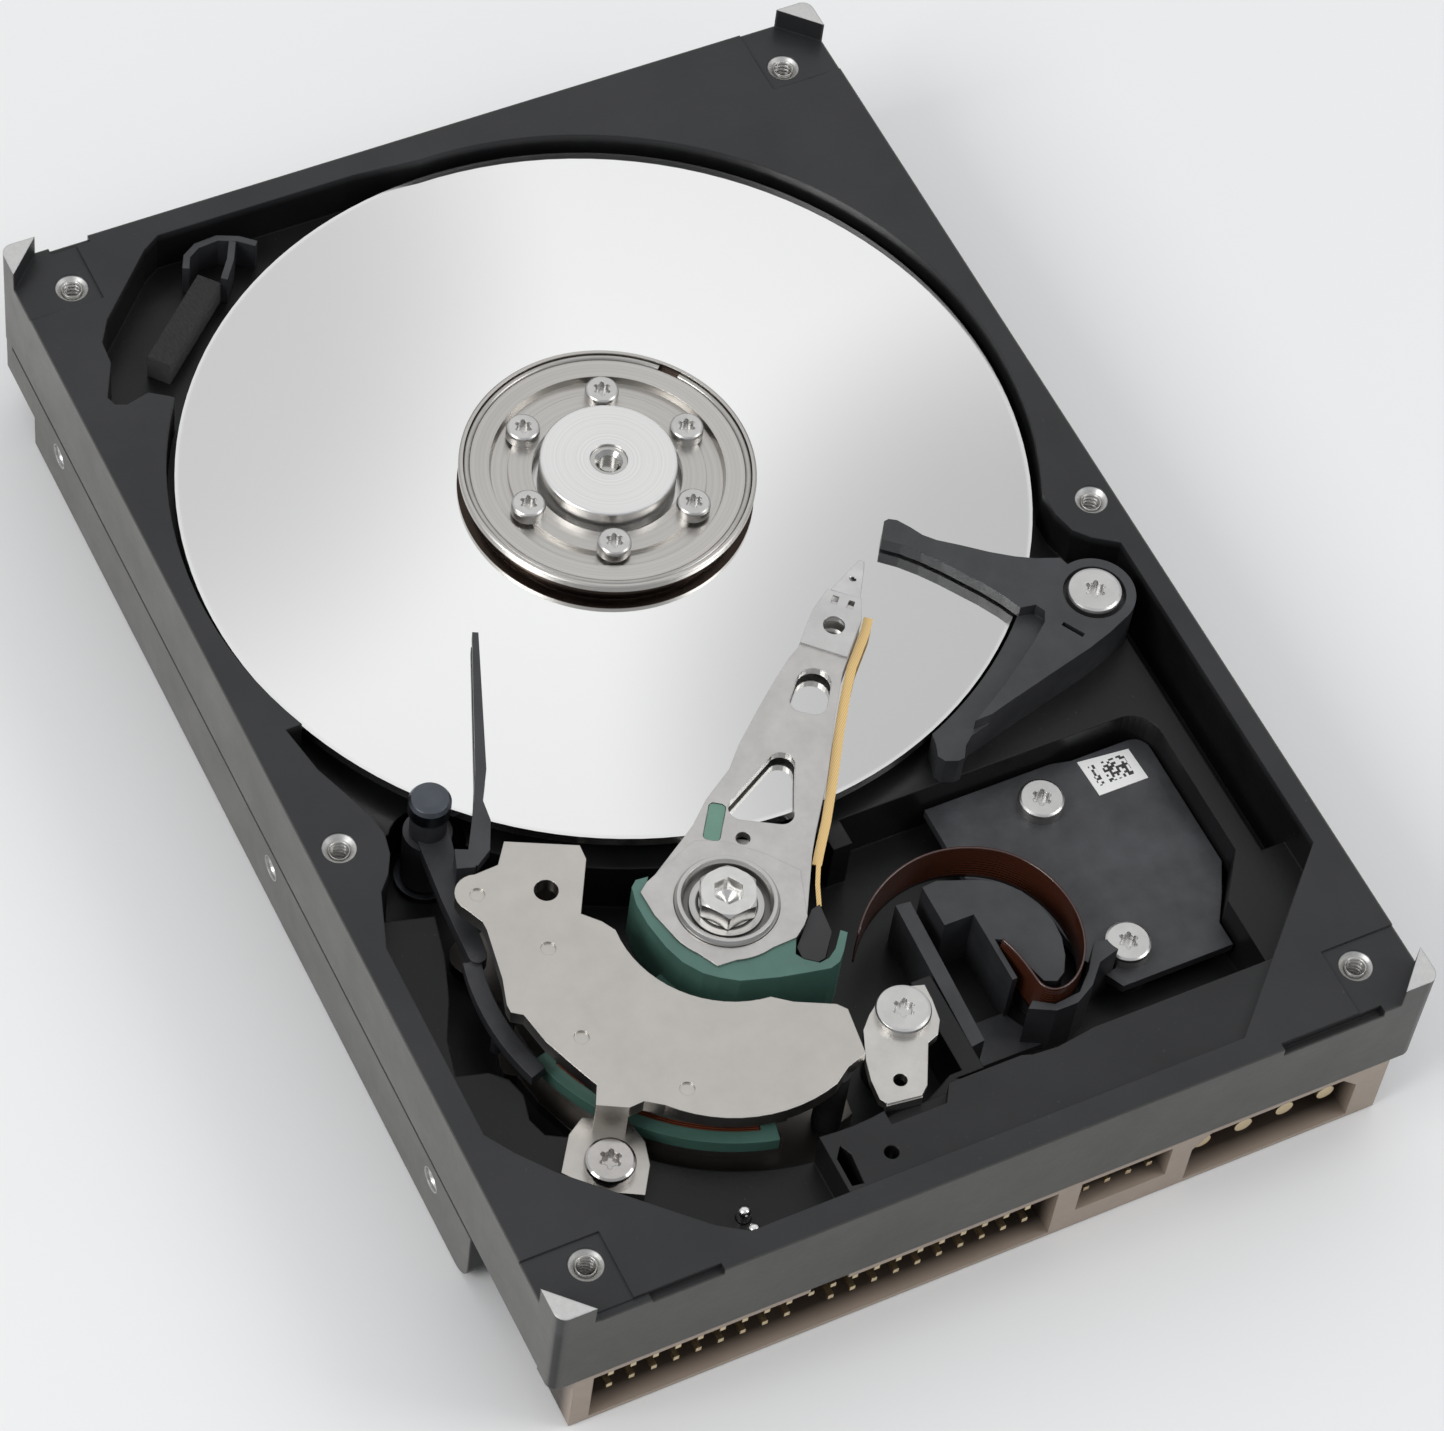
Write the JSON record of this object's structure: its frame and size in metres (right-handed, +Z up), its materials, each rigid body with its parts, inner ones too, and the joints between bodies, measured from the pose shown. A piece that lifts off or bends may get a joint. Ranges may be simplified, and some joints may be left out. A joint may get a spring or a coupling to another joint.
{
  "type": "hard disk drive",
  "caption": "Opened 3.5 inch hard disk drive with a cast base, spinning platter, swinging head actuator, voice coil motor, latch, board and rear sockets.",
  "frame": {"origin": "centre of the underside", "axes": "+X to the right and +Y away from the connector end, seen from above with the connectors nearest; +Z up out of the open top"},
  "size_m": [0.1016, 0.147, 0.0242],
  "materials": {
    "base_casting": "satin",
    "filter_holder": "matte",
    "recirculation_filter": "matte",
    "yoke_foot": "satin",
    "inner_screws": "polished",
    "vcm_bottom_plate": "satin",
    "magnet_plating": "satin",
    "vcm_top_plate": "satin nickel plate",
    "crash_stops": "matte",
    "latch_bracket": "satin",
    "air_dam": "satin",
    "flex_bracket": "satin",
    "flex_header": "matte",
    "bar_label": "paper",
    "flex_guide": "satin",
    "flex_cable": "gloss",
    "locating_pins": "polished",
    "latch_post": "satin",
    "pivot_shaft": "satin",
    "pivot_screw": "satin",
    "motor_base": "satin",
    "bearing_sleeve": "satin",
    "stator_core": "matte",
    "stator_windings": "enamelled wire",
    "circuit_board": "solder mask",
    "board_chips": "matte",
    "board_screws": "satin",
    "insulator_sheet": "matte",
    "connector_housing": "satin",
    "interface_pins": "plated",
    "jumper_pins": "plated",
    "power_pins": "plated",
    "spindle_hub": "turned",
    "spindle_shaft": "ground",
    "rotor_magnet": "matte",
    "platter": "polished",
    "disk_clamp": "turned",
    "clamp_screws": "polished",
    "balance_ring": "wire",
    "actuator_arm": "satin",
    "pivot_bearing": "ground",
    "coil_former": "satin",
    "voice_coil": "enamelled wire",
    "arm_damper": "satin",
    "flex_clip": "matte",
    "arm_flex": "gloss",
    "base_plates": "satin",
    "load_beams": "satin",
    "head_sliders": "gloss",
    "latch_lever": "satin"
  },
  "bodies": {
    "base": {"base_casting": "base_casting", "filter_holder": "filter_holder", "recirculation_filter": "recirculation_filter", "yoke_foot": "yoke_foot", "yoke_foot_screw": "inner_screws", "vcm_bottom_plate": "vcm_bottom_plate", "vcm_bottom_magnet": "magnet_plating", "vcm_top_magnet": "magnet_plating", "vcm_top_plate": "vcm_top_plate", "crash_stops": "crash_stops", "latch_bracket": "latch_bracket", "latch_bracket_screw": "inner_screws", "air_dam": "air_dam", "air_dam_screw": "inner_screws", "flex_bracket": "flex_bracket", "flex_bracket_screws": "inner_screws", "flex_header": "flex_header", "bar_label": "bar_label", "flex_guide": "flex_guide", "flex_cable": "flex_cable", "locating_pins": "locating_pins", "latch_post": "latch_post", "pivot_shaft": "pivot_shaft", "pivot_screw": "pivot_screw", "motor_base": "motor_base", "bearing_sleeve": "bearing_sleeve", "stator_core": "stator_core", "stator_windings": "stator_windings", "circuit_board": "circuit_board", "board_chips": "board_chips", "board_screws": "board_screws", "insulator_sheet": "insulator_sheet", "connector_housing": "connector_housing", "interface_pins": "interface_pins", "jumper_pins": "jumper_pins", "power_pins": "power_pins"},
    "rotor": {"spindle_hub": "spindle_hub", "spindle_shaft": "spindle_shaft", "rotor_magnet": "rotor_magnet", "platter": "platter", "disk_clamp": "disk_clamp", "clamp_screws": "clamp_screws", "balance_ring": "balance_ring"},
    "actuator": {"actuator_arm": "actuator_arm", "pivot_bearing": "pivot_bearing", "coil_former": "coil_former", "voice_coil": "voice_coil", "arm_damper": "arm_damper", "flex_clip": "flex_clip", "arm_flex": "arm_flex", "base_plates": "base_plates", "load_beams": "load_beams", "head_sliders": "head_sliders"},
    "latch": {"latch_lever": "latch_lever"}
  },
  "joints": [
    {"name": "spindle_spin", "type": "hinge", "parent": "base", "child": "rotor", "pos_m": [0, 0.0215, 0], "axis": [0, 0, 1], "continuous": true},
    {"name": "actuator_swing", "type": "hinge", "parent": "base", "child": "actuator", "pos_m": [-0.0131, -0.0348, 0], "axis": [0, 0, 1], "range_deg": [-18, 12], "deforming": ["flex_cable"]},
    {"name": "latch_swing", "type": "hinge", "parent": "base", "child": "latch", "pos_m": [-0.0368, -0.0121, 0], "axis": [0, 0, 1], "range_deg": [-6, 0]}
  ]
}
